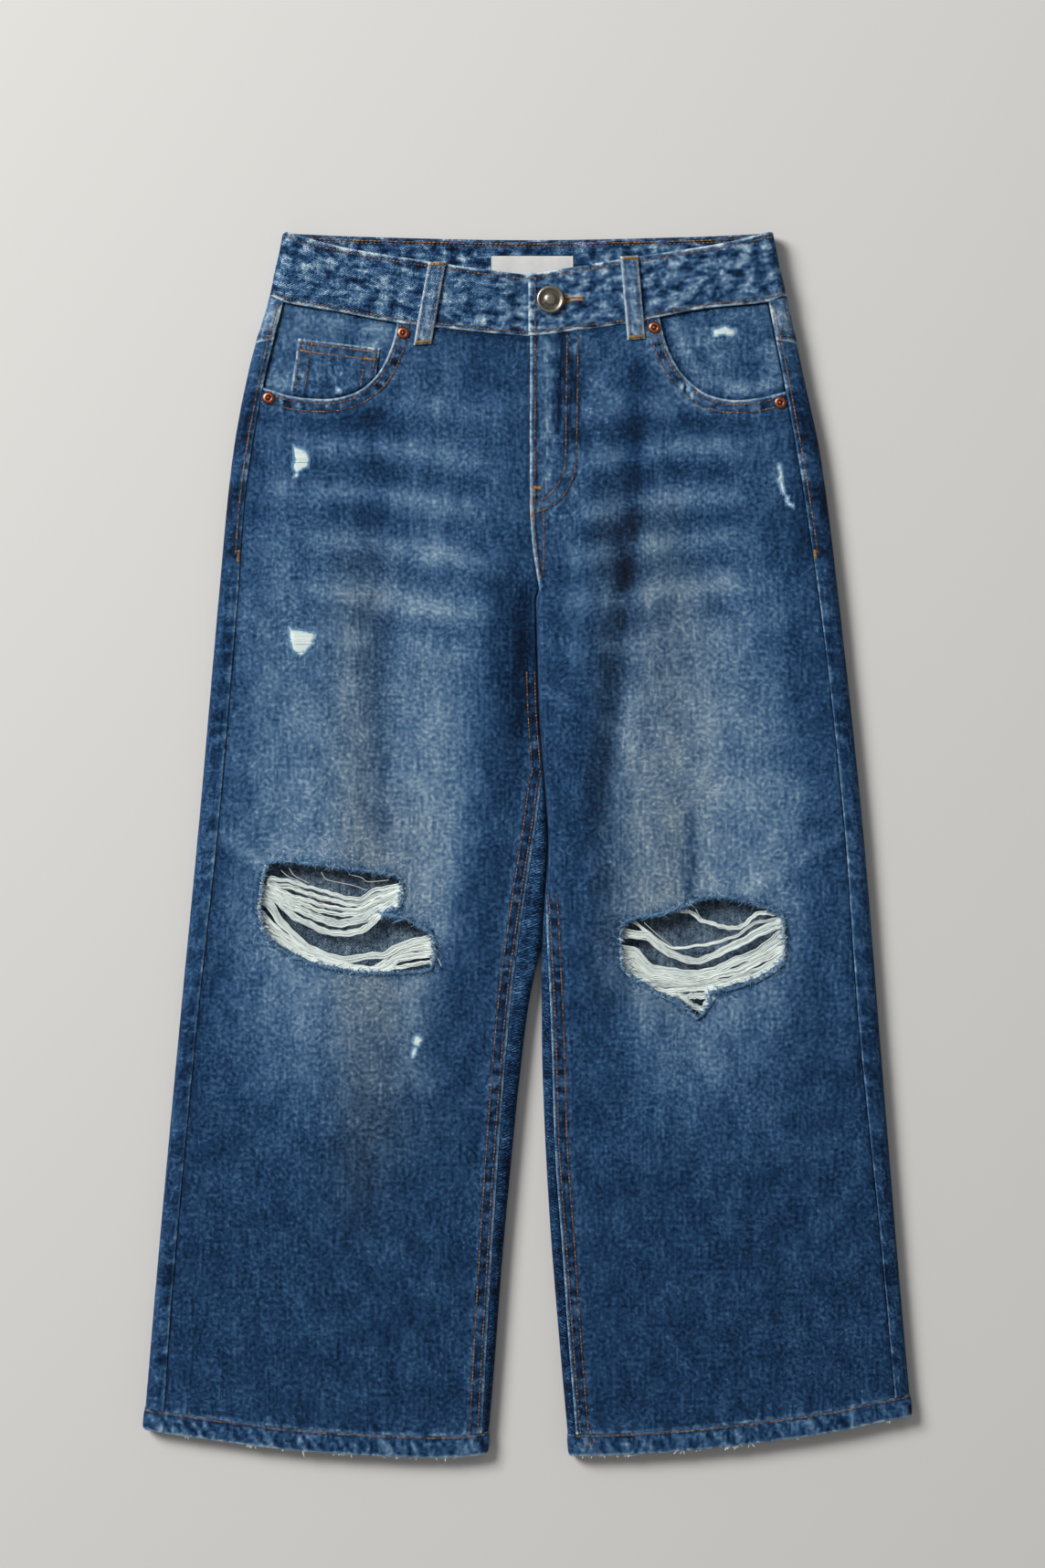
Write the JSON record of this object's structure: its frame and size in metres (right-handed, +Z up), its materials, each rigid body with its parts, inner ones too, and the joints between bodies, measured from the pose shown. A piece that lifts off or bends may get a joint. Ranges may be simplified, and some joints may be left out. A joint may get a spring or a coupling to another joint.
{
  "type": "ripped jeans",
  "caption": "Child's wide-leg five-pocket jeans with ripped knees, lying flat on their back, waist slightly open, fly closed with a metal button.",
  "frame": {"origin": "middle of the footprint, on the surface the jeans lie on", "axes": "+X towards the wearer's left leg, +Y from the hems to the waist, +Z up out of the front"},
  "size_m": [0.4789, 0.7623, 0.0182],
  "materials": {
    "denim": "washed blue twill, faded at thighs and hips",
    "zip_tape": "woven tape",
    "label": "bare woven label",
    "weft_threads": "loose undyed cotton weft",
    "button_metal": "aged nickel",
    "rivet_copper": "burnished copper"
  },
  "bodies": {
    "root": {"front_right": "denim", "front_left": "denim", "back_right": "denim", "back_left": "denim", "yoke_right": "denim", "yoke_left": "denim", "hem_right": "denim", "hem_left": "denim", "waistband": "denim", "pocket_facing_right": "denim", "pocket_facing_left": "denim", "coin_pocket": "denim", "back_pocket_right": "denim", "back_pocket_left": "denim", "belt_loop_front_right": "denim", "belt_loop_front_left": "denim", "belt_loop_back_centre": "denim", "belt_loop_back_right": "denim", "belt_loop_back_left": "denim", "zip": "zip_tape", "fly_shield": "denim", "label": "label", "rip_threads_right": "weft_threads", "rip_threads_left": "weft_threads", "button": "button_metal", "rivet_1": "rivet_copper", "rivet_2": "rivet_copper", "rivet_3": "rivet_copper", "rivet_4": "rivet_copper"}
  },
  "joints": []
}
